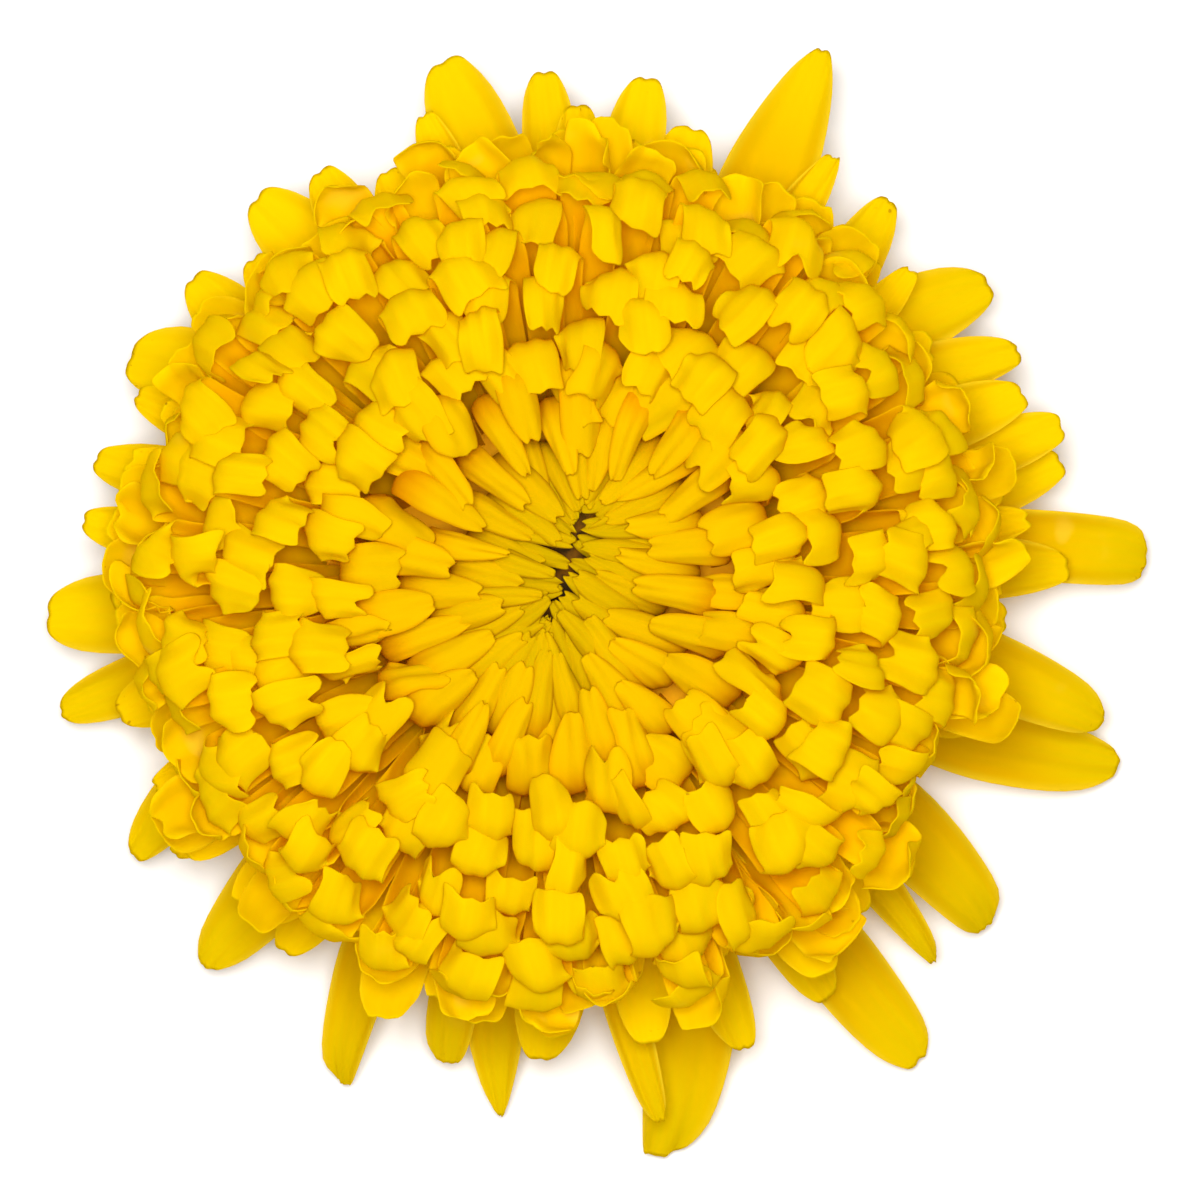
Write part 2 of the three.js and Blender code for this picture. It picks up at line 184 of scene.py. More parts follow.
def cut_blank(name, breadths, pulls):
    """A grid whose rows have these breadths, and whose tip is pulled back by these amounts."""
    columns = len(pulls) - 1
    bpy.ops.mesh.primitive_grid_add(
        x_subdivisions=columns, y_subdivisions=ROWS, size=2, location=(0, 0, 0)
    )
    blank = bpy.context.object
    blank.name = name
    blank.data.uv_layers[0].name = "Blade"
    bpy.ops.object.mode_set(mode="EDIT")
    bpy.ops.mesh.select_mode(type="VERT")
    bpy.ops.transform.resize(value=(1, 0.5, 1))
    bpy.ops.transform.translate(value=(0, 0.5, 0))
    for column, pull in enumerate(pulls):
        place = 2 * column / columns - 1
        select_points(blank.data, lambda x, y: abs(x - place) < COLUMN_WINDOW and y > UNCUT_TIP)
        bpy.ops.transform.translate(value=(0, -pull, 0))
    for row, breadth in enumerate(breadths):
        low, high = (row - ROW_WINDOW) / ROWS, (row + ROW_WINDOW) / ROWS
        if row == ROWS:
            low, high = CUT_TIP, 2
        select_points(blank.data, lambda x, y: low < y < high)
        bpy.ops.transform.resize(value=(breadth, 1, 1), center_override=(0, 0, 0))
    bpy.ops.object.mode_set(mode="OBJECT")
    blank.hide_render = True
    blank.select_set(False)
    return blank


STALK = [0.5, 0.64, 0.8, 0.92]
SLIM_STALK = [0.4, 0.48, 0.62, 0.78]
BLANKS = {
    "pointed": cut_blank(
        "pointed", STALK + [0.97, 1, 1, 0.96, 0.86, 0.66, 0.36],
        [0.03, 0.01, 0.012, 0, 0.02, 0.004, 0.03],
    ),
    "lance": cut_blank(
        "lance", STALK + [0.97, 1, 0.98, 0.92, 0.8, 0.58, 0.26],
        [0.02, 0, 0.012, 0.03, 0, 0.02, 0.03],
    ),
    "bitten": cut_blank(
        "bitten", STALK + [0.96, 1, 1, 0.98, 0.9, 0.74, 0.5],
        [0.06, 0.02, 0, 0.03, 0.045, 0.005, 0.03],
    ),
    "cleft": cut_blank(
        "cleft", STALK + [0.97, 1, 1, 1, 1, 0.99, 0.9],
        [0.06, 0, 0.02, 0.16, 0.03, 0, 0.04],
    ),
    "blunt": cut_blank(
        "blunt", STALK + [0.97, 1, 1, 1, 0.98, 0.95, 0.8],
        [0.08, 0.01, 0.05, 0, 0.03, 0.02, 0.09],
    ),
    "square": cut_blank(
        "square", STALK + [0.97, 1, 1, 1, 1.03, 1.04, 1],
        [0, 0.03, 0.05, 0.01, 0.06, 0.02, 0],
    ),
    "horned": cut_blank(
        "horned", STALK + [0.97, 1, 1, 1, 1.04, 1.06, 1.02],
        [0, 0.05, 0.11, 0.06, 0.1, 0.05, 0.01],
    ),
    "notched": cut_blank(
        "notched", STALK + [0.97, 1, 1, 1, 1, 0.98, 0.88],
        [0.07, 0, 0.1, 0.02, 0.1, 0.01, 0.06],
    ),
    "guard": cut_blank(
        "guard", SLIM_STALK + [0.82, 0.93, 1, 1, 0.98, 0.9, 0.62],
        [0.04, 0.02, 0.008, 0.002, 0, 0.003, 0.008, 0.002, 0, 0.006, 0.012, 0.025, 0.04],
    ),
    "long": cut_blank(
        "long", SLIM_STALK + [0.82, 0.93, 1, 1, 0.98, 0.9, 0.62],
        [0.03, 0.008, 0, 0.006, 0, 0.01, 0.03],
    ),
}
print("blanks", {name: len(b.data.polygons) for name, b in BLANKS.items()})

# %% [markdown]
# A floret's line lies in an upright plane through the bloom's axis. A stalk climbs from the foot to
# the knee, then the blade hooks over in a round bend and ends in a short straight tip. Blender's own
# Bend needs a window, and no single bend gives stalk, hook and tip together, so each copy's points
# are moved in code: along the line by their place in the strip, and round a trough across it.

# %% The line of a floret
LINE_STEPS = 40
HOOK_STEPS = 16
FOOT_PULL = 0.35  # share of its span over which a stalk keeps the direction of its foot
KNEE_PULL = 0.4  # and over which it takes up the direction of its knee


def side_line(f):
    """Points of the floret's line in its upright plane, as (out, up), from its start to its tip."""
    start, stop = math.radians(f["lean"]), math.radians(f["lean"] - f["hook"])
    turn = f["bend"] if f["hook"] < 0 else -f["bend"]
    heading = start + (stop - start) * np.linspace(0, 1, HOOK_STEPS)
    hook = turn * np.stack(
        [math.cos(start) - np.cos(heading), np.sin(heading) - math.sin(start)], 1
    )
    tip = np.array([f["reach"], f["height"]])
    knee = tip - hook[-1] - f["end"] * np.array([math.sin(stop), math.cos(stop)])
    foot = np.array(f["foot"], float)
    span = np.linalg.norm(knee - foot)
    rise = math.radians(f["foot_lean"])
    first = foot + FOOT_PULL * span * np.array([math.sin(rise), math.cos(rise)])
    second = knee - KNEE_PULL * span * np.array([math.sin(start), math.cos(start)])
    t = np.linspace(f["start"], 1, LINE_STEPS)[:, None]
    stalk = (1 - t) ** 3 * foot + 3 * (1 - t) ** 2 * t * first
    stalk = stalk + 3 * (1 - t) * t**2 * second + t**3 * knee
    return np.concatenate([stalk, knee + hook[1:], tip[None]])


# %% [markdown]
# A strip that only follows its line would be a smooth gutter. A real blade also sways to one side,
# rolls, tapers, and is rippled, dented and folded past its smooth stalk. A noise that displaces the
# joined florets would treat them all alike, while here each one has its own amounts.

# %% Swaying, rolling and creasing a blade
VEER_RUN = 9  # length over which a tip veers to one side
EASE = 1.5  # power that lets a veer or a taper start gently
SPINE_STEP = 0.4  # half the length from which the spine's direction is taken
RIPPLE_TURNS = 20
WAIST_TURNS = 17
FOLD_DEPTH = 1.15  # how deep folds are at the foot, and how much of that they lose by the tip
FOLD_LOSS = 0.5
FOLD_MIDDLE = 0.3  # folds keep their depth this far from the middle, then fade to the edges


def spine_at(f, line, run, s):
    """Points of floret f's spine at the lengths s along its line, as (out, aside, up)."""
    length = run[-1]
    aside = f["aside"] * (s / length) ** f["sway"]
    aside = aside + f["veer"] * np.clip(1 - (length - s) / VEER_RUN, 0, 1) ** EASE
    return np.stack([np.interp(s, run, line[:, 0]), aside, np.interp(s, run, line[:, 1])], 1)


def directions_at(f, line, run, s):
    """The directions across the spine and inwards from it at the lengths s, with the roll."""
    length = run[-1]
    way = spine_at(f, line, run, np.minimum(s + SPINE_STEP, length))
    way -= spine_at(f, line, run, np.maximum(s - SPINE_STEP, 0))
    way /= np.linalg.norm(way, axis=1)[:, None]
    side = np.array([0.0, 1.0, 0.0]) - way * way[:, 1:2]
    side /= np.linalg.norm(side, axis=1)[:, None]
    inward = np.cross(way, side)
    roll = (np.radians(f["roll"]) * (s / length))[:, None]
    return (
        side * np.cos(roll) + inward * np.sin(roll),
        inward * np.cos(roll) - side * np.sin(roll),
    )


def relief_on(f, x, y):
    """How far points of the blade stand in from its smooth trough."""
    ripple = f["ripple"] * x * np.abs(x) * np.sin(y * RIPPLE_TURNS + f["phase"])
    dents = np.sin(np.arange(len(x)) * DRAW_STEP + f["phase"] * DRAW_SKIP) * DRAW_SPREAD
    dents = f["lump"] * (2 * (dents - np.floor(dents)) - 1)
    folds = f["fold"] * np.cos(f["pleats"] * math.pi * x) * (FOLD_DEPTH - FOLD_LOSS * y)
    folds *= np.clip(1 + FOLD_MIDDLE - np.abs(x), 0, 1)
    keel = f["keel"] * (np.abs(x) - 0.5)
    return ripple + dents + folds + keel


# %% Laying a blank along its line
MOST_SHOWN = 0.75  # a blade takes up no more than this share of its line
BLADE_START = 0.3  # place on the blank where the stalk ends
BLADE_MIDDLE = 0.6  # place where the blade has its own trough, and starts to taper
SLANT_START = 0.75  # place from which a slanting tip is longer on one side
RELIEF_RUN = 0.25  # part of the blank over which the relief grows in
STALK_TROUGH = (1.0, 0.9)  # half the angle of the trough at the foot and where the stalk ends
DEEPEST_TROUGH = 1.35  # past this a blade gets no broader to make up for its trough
TAPER = 0.8  # what a fully pointed blade loses of its width
FLOOR_GAP = 0.35


def wrap(flat, f):
    """Lays the flat strip's points along the line and round the trough of floret f, in mm."""
    line = f["line"] if "line" in f else side_line(f)
    run = np.concatenate([[0], np.cumsum(np.linalg.norm(np.diff(line, axis=0), axis=1))])
    length = run[-1]
    shown = min(f["shown"], MOST_SHOWN * length)
    x, y = flat[:, 0], flat[:, 1]
    y = y * (1 + f["slant"] * x * np.clip((y - SLANT_START) / (1 - SLANT_START), 0, 1))
    s = np.interp(y, [0, BLADE_START, 1], [0, length - shown, length])
    trough = np.interp(
        y, [0, BLADE_START, BLADE_MIDDLE, 1], [*STALK_TROUGH, f["trough"], f["trough"] * f["open"]]
    )
    taper = np.clip((y - BLADE_MIDDLE) / (1 - BLADE_MIDDLE), 0, 1) ** EASE
    half = f["width"] / 2 * trough / np.sin(np.minimum(trough, DEEPEST_TROUGH))
    half *= 1 - f["point"] * TAPER * taper
    radius = half / trough
    free = np.clip((y - BLADE_START) / RELIEF_RUN, 0, 1)
    across = radius * np.sin(x * trough)
    across *= 1 + f["waist"] * np.sin(y * WAIST_TURNS + f["phase"]) * free
    up = radius * (1 - np.cos(x * trough)) + relief_on(f, x, y) * free
    side, inward = directions_at(f, line, run, s)
    places = spine_at(f, line, run, s) + side * across[:, None] + inward * up[:, None]
    turn = math.radians(f["bearing"])
    out = places.copy()
    out[:, 0] = places[:, 0] * math.cos(turn) - places[:, 1] * math.sin(turn)
    out[:, 1] = places[:, 0] * math.sin(turn) + places[:, 1] * math.cos(turn)
    out[:, 2] = np.maximum(out[:, 2], FLOOR_GAP)
    return out + np.array([AXIS[0], AXIS[1], 0])


# %% [markdown]
# The long outer florets draw the bloom's outline. No two are alike, and no rule would give just this
# outline, so each is described in a row of its own. Curl is in degrees, up if positive.

# %% Rows for the long outer florets
# Each row is (bearing of the tip, reach, width, swing of the foot in degrees, height of the tip,
# point, curl, sway).
OUTER_FLORETS = [
    (2.5, 70.8, 8.7, 6, 8, 0.01, -35, 2.2),
    (2, 61.1, 8.5, 0.1, 19, 0.3, 20, 2.8),
    (8, 56.2, 6.5, -2, 30, 0.3, 45, 2.2),
    (14, 61.8, 8.6, -4, 21, 0.2, 20, 2.2),
    (17.5, 62.7, 7.4, -1, 28, 0.1, 35, 3.1),
    (22.5, 59.6, 8.2, 2, 31, 0.2, 20, 1.85),
    (27, 61.5, 7.9, 8.1, 24, 0.27, 0, 2.2),
    (35, 62.7, 10.5, 7.9, 20, 0.3, -10, 2.2),
    (42, 56.1, 5.7, -5.2, 31, 0.25, 30, 2.2),
    (49.5, 60.6, 8.4, -6, 22, 0.4, 0, 2.2),
    (57.5, 60.2, 7.1, 0.7, 34, 0.61, 40, 2.56),
    (64, 71.2, 11.2, -2, 24, 0.75, 5, 2.8),
    (73.9, 56.4, 8.8, 1.8, 34, 0.01, 30, 1.6),
    (80.5, 61.4, 8.1, 2, 26, 0.15, 10, 1.6),
    (88.2, 57.1, 6.6, -1.1, 30, 0, 0, 2.2),
    (92, 61.4, 6.9, -2.5, 24, 0.06, 10, 2),
    (103, 64.1, 10.3, -7.7, 26, 0.1, 25, 2.2),
    (106.5, 58.2, 6.9, -3, 32, 0.3, 30, 3),
    (113, 53.6, 7.2, 2, 28, 0.2, 20, 2),
    (120.5, 57, 8.4, 1, 31, 0.19, 10, 1.74),
    (128.5, 58.9, 10.2, -5, 25, 0.1, 15, 3.14),
    (133.5, 53.4, 7.3, 3, 32, 0.01, 20, 2.45),
    (140.5, 57.4, 9.8, 3, 25, 0.3, 5, 2.8),
    (152.5, 58.7, 11, -5, 18, 0.1, -10, 4.25),
    (156, 55.5, 7.1, 0, 28, 0.28, 0, 2.2),
    (165, 58, 8.2, -1, 20, 0.3, 0, 1.4),
    (172.5, 57.5, 6.7, 2, 29, 0.12, 0, 2.85),
    (183.5, 62, 10, 1, 19, 0, 10, 2.65),
    (194.3, 62.6, 7.7, -5.4, 10, 0.3, -10, 1.85),
    (196.5, 55.4, 8.4, -2, 22, 0.2, 0, 2.65),
    (206.5, 54.2, 7.2, 1.1, 30, 0.49, 20, 2.2),
    (212.5, 61.5, 8.6, -10.2, 10, 0.44, -10, 2.54),
    (215, 56.6, 7.2, 3, 25, 0.5, 20, 1.74),
    (227, 63.4, 10.3, -3, 9, 0.59, -20, 1.6),
    (233, 55.4, 8.1, 0, 21, 0.2, 10, 2.2),
    (246.5, 66.3, 7.2, -8, 4, 0.61, -45, 2.2),
    (256.5, 59.6, 6.3, -5.6, 10, 0, -30, 1.4),
    (263.5, 65.1, 8.7, -5.7, 5, 1, -20, 2.45),
    (267.5, 57.2, 10, 2.9, 21, 0.3, 0, 2.4),
    (279.5, 70.5, 11.2, 15.6, 3, 0.35, -30, 2.45),
    (280.5, 65.9, 5.3, -5, 15, 0.47, -20, 2.2),
    (291.5, 60.1, 7.5, -0.3, 20, 0.3, 0, 1.95),
    (303, 59.4, 7.6, -0.2, 16, 0.2, 0, 2),
    (307, 72.4, 9.6, -1, 4, 0.3, -15, 4.68),
    (314.5, 64.2, 5.6, 6, 11, 0.69, -30, 2.2),
    (321, 66.2, 10, 8, 6, 0.46, -40, 2.2),
    (342, 71, 10, -3.9, 5, 0.44, -15, 2.65),
    (345.5, 67.2, 9.4, 8, 15, 0.47, -30, 2.2),
    (355.5, 53.3, 7.4, 0.7, 29, 0.1, 30, 2.2),
]
print(len(OUTER_FLORETS), "outer florets, the longest", max(row[1] for row in OUTER_FLORETS), "mm")

# %% [markdown]
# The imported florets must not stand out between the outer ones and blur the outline. They could be
# cut off there, but a real floret keeps its tip, so each is drawn back along its plane instead, until
# its line stays inside the body of florets or inside an outer floret that covers it.

# %% The body behind the outer florets
# How far the body of florets reaches from the axis in each direction, as (bearing, reach).
BODY = [
    (0, 52.5), (16, 50), (33, 51), (53, 52), (70, 53.5), (84, 56), (96, 54.5), (110, 51), (138, 52),
    (150, 54), (159, 50), (169, 53.5), (180, 55), (198, 52), (219, 49.5), (238, 48.5), (257, 54),
    (274, 49), (297, 49.5), (312, 54.5), (332, 47.5), (345, 51), (360, 52.5),
]
RIM = 0.7  # half the thickness of a blade's rim, with its ripples
COVER = 0.6  # share of a floret's width that has to lie under an outer one that covers it
COVER_TIP = 3  # how far inside the outer one's tip it then ends


def drawn_back(f):
    """Floret f, drawn back if its line would stand out of the body and of the florets over it."""
    limit = along(BODY, f["bearing"] % 360)
    for bearing, reach, width, *rest in OUTER_FLORETS:
        apart = abs((f["bearing"] - bearing + 180) % 360 - 180)
        if apart < math.degrees((width - COVER * f["width"]) / 2 / reach):
            limit = max(limit, min(DOME_REACH, reach - COVER_TIP))
    f["reach"] -= max(0, side_line(f)[:, 0].max() + RIM - limit)
    return f


# %% [markdown]
# Every floret is a copy of its blank with a mesh of its own, so that it can take its own line. All
# the florets of one zone are then joined, and Solidify and Subdivision Surface give them thickness
# and round edges together, which is much quicker than floret by floret.

# %% Growing and joining florets
def grow(f):
    """One floret: a copy of its blank, with its own mesh, laid along its line."""
    blank = BLANKS[f["blank"]]
    floret = blank.copy()
    floret.data = blank.data.copy()
    floret.hide_render = False
    bpy.context.collection.objects.link(floret)
    count = len(floret.data.vertices)
    flat = np.empty(count * 3)
    floret.data.vertices.foreach_get("co", flat)
    floret.data.vertices.foreach_set("co", (wrap(flat.reshape(-1, 3), f) * MM).ravel())
    for name in ("age", "tone"):
        layer = floret.data.attributes.new(name, "FLOAT", "POINT")
        layer.data.foreach_set("value", np.full(count, f[name]))
    return floret


def gather(name, florets, thickness):
    """Joins florets into one piece, gives them their thickness and rounds them."""
    made = [grow(f) for f in florets]
    bpy.ops.object.select_all(action="DESELECT")
    for floret in made:
        floret.select_set(True)
    bpy.context.view_layer.objects.active = made[0]
    bpy.ops.object.join()
    piece = bpy.context.object
    piece.name = name
    solid = piece.modifiers.new("thickness", "SOLIDIFY")
    solid.thickness = thickness * MM
    solid.offset = 0
    smooth = piece.modifiers.new("rounding", "SUBSURF")
    smooth.levels = smooth.render_levels = 1
    bpy.ops.object.modifier_apply(modifier="thickness")
    bpy.ops.object.modifier_apply(modifier="rounding")
    bpy.ops.object.shade_smooth()
    piece.select_set(False)
    triangles = sum(len(face.vertices) - 2 for face in piece.data.polygons)
    print(name, len(florets), "copies,", triangles, "triangles")
    return piece


# %% [markdown]
# Packed florets stand on a spiral with the golden angle between neighbours, which is how a real head
# fills its disc with no gaps. From the eye outwards they grow broader and lean further out. They
# hook over furthest on the lip of the dome, and least at its rim. The innermost tips close on a slit
# and not on a point.

# %% The spiral of packed florets
PACKED_THICKNESS = 0.26
OLDEST_REACH = 72  # a floret's age is its reach as a share of this
DOME_FLORETS = 392
# Reach of the tip of floret i, counted from the eye, as (i, reach).
REACHES = [
    (0, 0.3), (12, 1), (26, 2.5), (46, 5.4), (70, 10), (94, 15.5), (134, 23), (210, 34),
    (312, 46), (392, 56),
]
EYE_SLIT = 6.5  # half the slit's length
EYE_SLIT_BEARING = 71
EYE_SLIT_FADE = 6  # reach by which the pull of the slit has mostly faded
EYE_SQUEEZE = 0.97  # how far the innermost tips are pressed towards the slit's line
EYE_CROSSING = 0.65  # how far they reach over it
EYE_OFFSET = (1.2, 2.8)  # from the bloom's axis to the middle of the slit

# Each of these runs from the eye to the rim, as (reach, value).
LEAN = [(0, 4), (12, 10), (20, 20), (30, 38), (36, 48), (44, 62), (50, 74), (57, 84)]
HOOK = [
    (0, 92), (10, 102), (16, 112), (22, 122), (36, 140), (42, 140), (47, 104), (51, 66), (57, 38),
]
BEND = [(0, 5), (12, 5), (18, 3.4), (24, 2.6), (46, 2.4), (57, 3.6)]
END = [(0, 5), (12, 5.4), (18, 4.9), (24, 4.4), (45, 4.1), (57, 3)]
WIDTH = [(0, 3), (5, 3.7), (10, 4.3), (16, 5.2), (22, 5.8), (40, 6.5), (50, 7.3), (57, 7.8)]
TROUGH = [(0, 0.6), (14, 0.65), (22, 0.65), (42, 0.75), (50, 1), (57, 1.1)]
ROUGHNESS = [(0, 0.6), (10, 1.4), (16, 1.8), (24, 2.4), (57, 2.6)]
INNER_REACH = 16
INNER_KINDS = ("pointed", "lance", "bitten", "pointed", "bitten")
HOOD_KINDS = ("cleft", "blunt", "square", "notched", "horned", "square", "notched")


def dome_floret(i):
    """Floret i of the spiral, counted from the eye."""
    even = along(REACHES, i)
    inner = even < INNER_REACH
    reach = min(DOME_REACH, even + draw(i, 1, 0.5 if inner else 1.4))
    bearing = i * GOLDEN_ANGLE + draw(i, 2, 2.5)
    rough = along(ROUGHNESS, reach)
    depth = math.sqrt(i / DOME_FLORETS)
    fade = min(1, math.exp(-reach / EYE_SLIT_FADE))
    turn, slit = math.radians(bearing), math.radians(EYE_SLIT_BEARING)
    lengthwise = reach * math.cos(turn - slit) + EYE_SLIT * fade * math.cos(turn - slit)
    crosswise = reach * math.sin(turn - slit) * (1 - EYE_SQUEEZE * fade)
    crosswise -= EYE_CROSSING * fade * math.sin(turn - slit)
    tip_x = lengthwise * math.cos(slit) - crosswise * math.sin(slit) + EYE_OFFSET[0] * fade
    tip_y = lengthwise * math.sin(slit) + crosswise * math.cos(slit) + EYE_OFFSET[1] * fade
    kinds = INNER_KINDS if inner else HOOD_KINDS
    return {
        "blank": kinds[int(abs(draw(i, 11, 1)) * len(kinds)) % len(kinds)],
        "bearing": bearing,
        "reach": tip_x * math.cos(turn) + tip_y * math.sin(turn),
        "aside": tip_y * math.cos(turn) - tip_x * math.sin(turn) + draw(i, 8, 0.04) * reach,
        "height": dome_height(reach) + draw(i, 3, rough) - rough / 2 - 2 * math.exp(-reach),
        "lean": along(LEAN, reach) + draw(i, 4, 6),
        "hook": along(HOOK, reach) + draw(i, 5, 8 if inner else 16 + max(0, reach - 44)),
        "bend": along(BEND, reach),
        "end": along(END, reach) * (1 + draw(i, 12, 0.15)),
        "width": along(WIDTH, reach) * (1 + draw(i, 6, 0.18)),
        "trough": along(TROUGH, reach) * (1 + draw(i, 17, 0.25)),
        "open": 0.85 + draw(i, 18, 0.25),
        "roll": draw(i, 7, 26) if inner else draw(i, 7, 24) + draw(i, 7, 1) ** 3 * 35,
        "foot": (depth * FOOT_RADIUS, SEAT_HEIGHT + 1.5),
        "foot_lean": 80 * depth,
        "sway": 2.2,
        "point": 0,
        "slant": 0 if inner else -0.02 + draw(i, 19, 0.04),
        "start": 0.4,
        "shown": 15,
        "ripple": 0.25 if inner else 0.6,
        "lump": 0.28 if inner else 0.6,
        "fold": 0.5,
        "pleats": 3,
        "keel": 0.45 + draw(i, 22, 0.5),
        "waist": 0.07 if inner else 0.09,
        "veer": draw(i, 21, 1.2 if inner else 2.6),
        "phase": draw(i, 13, 3),
        "age": reach / OLDEST_REACH,
        "tone": draw(i, 14, 1),
    }


EYE_COUNT = 126
CROWN_COUNT = 132
crown_end = EYE_COUNT + CROWN_COUNT
packed = [drawn_back(dome_floret(i)) for i in range(DOME_FLORETS)]
eye_florets = gather("eye_florets", packed[:EYE_COUNT], PACKED_THICKNESS)
crown_florets = gather("crown_florets", packed[EYE_COUNT:crown_end], PACKED_THICKNESS)
flank_florets = gather("flank_florets", packed[crown_end:], PACKED_THICKNESS)

# %% [markdown]
# An outer floret leaves the receptacle low, climbs over the ones below it, and bends up or down
# towards its tip, as its row says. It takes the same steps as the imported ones, but from a blank with
# a slimmer stalk and more columns, because it is seen whole.

# %% Outer florets
OUTER_THICKNESS = 0.3


def outer_floret(i, row):
    """Long floret i, which leaves the receptacle low and spreads."""
    bearing, reach, width, swing, height, point, curl, sway = row
    return {
        "blank": "guard",
        "bearing": bearing + swing,
        "reach": reach * math.cos(math.radians(swing)),
        "aside": -reach * math.sin(math.radians(swing)),
        "height": height,
        "lean": 110 - height / 2,
        "hook": curl,
        "bend": 8,
        "end": 3,
        "width": width,
        "trough": 0.9,
        "open": 0.85,
        "roll": draw(i, 9, 12),
        "foot": (FOOT_RADIUS, SEAT_HEIGHT + 2.5),
        "foot_lean": 78 - height,
        "sway": sway,
        "point": point,
        "slant": draw(i, 20, 0.02),
        "start": 0.15,
        "shown": 34,
        "ripple": 0.45,
        "lump": 0.35,
        "fold": 0.5,
        "pleats": 2,
        "keel": 0.2,
        "waist": 0,
        "veer": 0,
        "phase": draw(i, 15, 3),
        "age": reach / OLDEST_REACH,
        "tone": draw(i, 16, 1),
    }


spreading = [outer_floret(i, row) for i, row in enumerate(OUTER_FLORETS)]
outer_florets = gather("outer_florets", spreading, OUTER_THICKNESS)

# %% [markdown]
# Under the dome, whole rings of florets close the sides, and the lowest ones turn down to the surface
# that the head lies on. The spiral could run on down here, but rings fill a steep side more evenly.

# %% Rings of florets on the sides and underneath
SIDE_RINGS = 4
SIDE_THICKNESS = 0.3
SKIRT_THICKNESS = 0.32
RING_DRAWS = 40  # the draws of the first ring are numbered from here, the next ring's ten later
# (how many, reach, height of the tip, width, lean of the end, curl, lean of the foot)
RINGS = [
    (22, 54.5, 44.5, 7.4, 70, 48, 44),
    (22, 54.5, 39, 7.4, 76, 38, 48),
    (22, 54.5, 33.5, 7.4, 82, 32, 52),
    (20, 54, 27.5, 7.4, 90, 26, 57),
    (20, 53.5, 21, 7.4, 98, 22, 63),
    (20, 52, 14, 7.2, 107, 20, 70),
    (20, 50, 7, 7.2, 118, 22, 80),
    (20, 45.5, 0.6, 7.2, 127, 24, 86),
]


def ring_floret(row, ring, i):
    """Floret i of a ring below the dome."""
    count, reach, height, width, lean, hook, foot_lean = ring
    k = RING_DRAWS + 10 * row
    reached = reach + draw(i, k, 2)
    return {
        "blank": ("long", "blunt")[i % 2],
        "bearing": (i + row / 2) * 360 / count + draw(i, k + 1, 3),
        "reach": reached,
        "aside": draw(i, k + 2, 0.05) * reached,
        "height": height + max(0, draw(i, k + 3, 2)),
        "lean": lean + draw(i, k + 8, 4),
        "hook": hook + draw(i, k + 4, 12),
        "bend": 10,
        "end": 3,
        "width": width * (1 + draw(i, k + 5, 0.1)),
        "trough": 0.8,
        "open": 0.6,
        "roll": draw(i, k + 6, 12),
        "foot": (FOOT_RADIUS, SEAT_HEIGHT + 2.5 - row / 3),
        "foot_lean": foot_lean,
        "sway": 2.2,
        "point": 0,
        "slant": draw(i, k + 11, 0.03),
        "start": 0.1,
        "shown": 30,
        "ripple": 0.45,
        "lump": 0.3,
        "fold": 0.4,
        "pleats": 2,
        "keel": 0.2,
        "waist": 0.05,
        "veer": draw(i, k + 12, 1.5),
        "phase": draw(i, k + 7, 3),
        "age": reached / OLDEST_REACH,
        "tone": draw(i, k + 9, 1),
    }


in_rings = [
    drawn_back(ring_floret(row, ring, i)) for row, ring in enumerate(RINGS) for i in range(ring[0])
]
side_count = sum(ring[0] for ring in RINGS[:SIDE_RINGS])
side_florets = gather("side_florets", in_rings[:side_count], SIDE_THICKNESS)
skirt_florets = gather("skirt_florets", in_rings[side_count:], SKIRT_THICKNESS)

# %% [markdown]
# Deep between the florets stand their packed bases. Nothing of their shape is seen, so they are drawn
# as one small mass, well under the tips, which only keeps the light from shining through the head.
# It is drawn up from a circle, ring by ring, as a potter draws up a pot.

# %% Packed bases of the florets
ROUND = 48  # sides of a round body
# (radius, height) from the bottom up
BASES = [
    (7.5, 25), (15, 26.5), (24, 30), (31, 35), (34, 40),
    (33, 43), (27, 45), (17, 46), (8, 47), (2, 47),
]


def turned(name, rows, count):
    """A closed body of rings round the bloom's axis, drawn up ring by ring by extruding."""
    start = (AXIS[0] * MM, AXIS[1] * MM, rows[0][1] * MM)
    bpy.ops.mesh.primitive_circle_add(
        vertices=count, radius=rows[0][0] * MM, fill_type="NGON", location=start
    )
    body = bpy.context.object
    body.name = name
    bpy.ops.object.mode_set(mode="EDIT")
    bpy.ops.mesh.select_all(action="SELECT")
    for (radius, height), (wider, higher) in zip(rows, rows[1:]):
        bpy.ops.mesh.extrude_region_move(
            TRANSFORM_OT_translate={"value": (0, 0, (higher - height) * MM)}
        )
        scale = wider / radius
        bpy.ops.transform.resize(
            value=(scale, scale, 1), center_override=(start[0], start[1], higher * MM)
        )
    bpy.ops.mesh.select_all(action="SELECT")
    bpy.ops.mesh.normals_make_consistent(inside=False)
    bpy.ops.object.mode_set(mode="OBJECT")
    bpy.ops.object.transform_apply(location=True, rotation=True, scale=True)
    bpy.ops.object.shade_smooth()
    body.select_set(False)
    return body


floret_bases = turned("floret_bases", BASES, ROUND)
print("floret_bases", len(floret_bases.data.polygons), "faces")

# %% [markdown]
# Under the florets sits the receptacle, a green cup that swells from the stem. Three rows of bracts
# hug it, each bract keeled, with a thin papery edge, and those of the upper rows longer. The cup is
# made like the bases, and a bract is laid up its wall as a floret is laid along its line.

# %% Receptacle and bracts
CUP_BOTTOM = 12
CUP_TOP = 23.7
CUP_RADIUS = 10.4
NECK_RADIUS = 4.6
CUP_HEIGHTS = (12, 12.3, 13, 14.2, 16, 18.4, 21, 23.2)


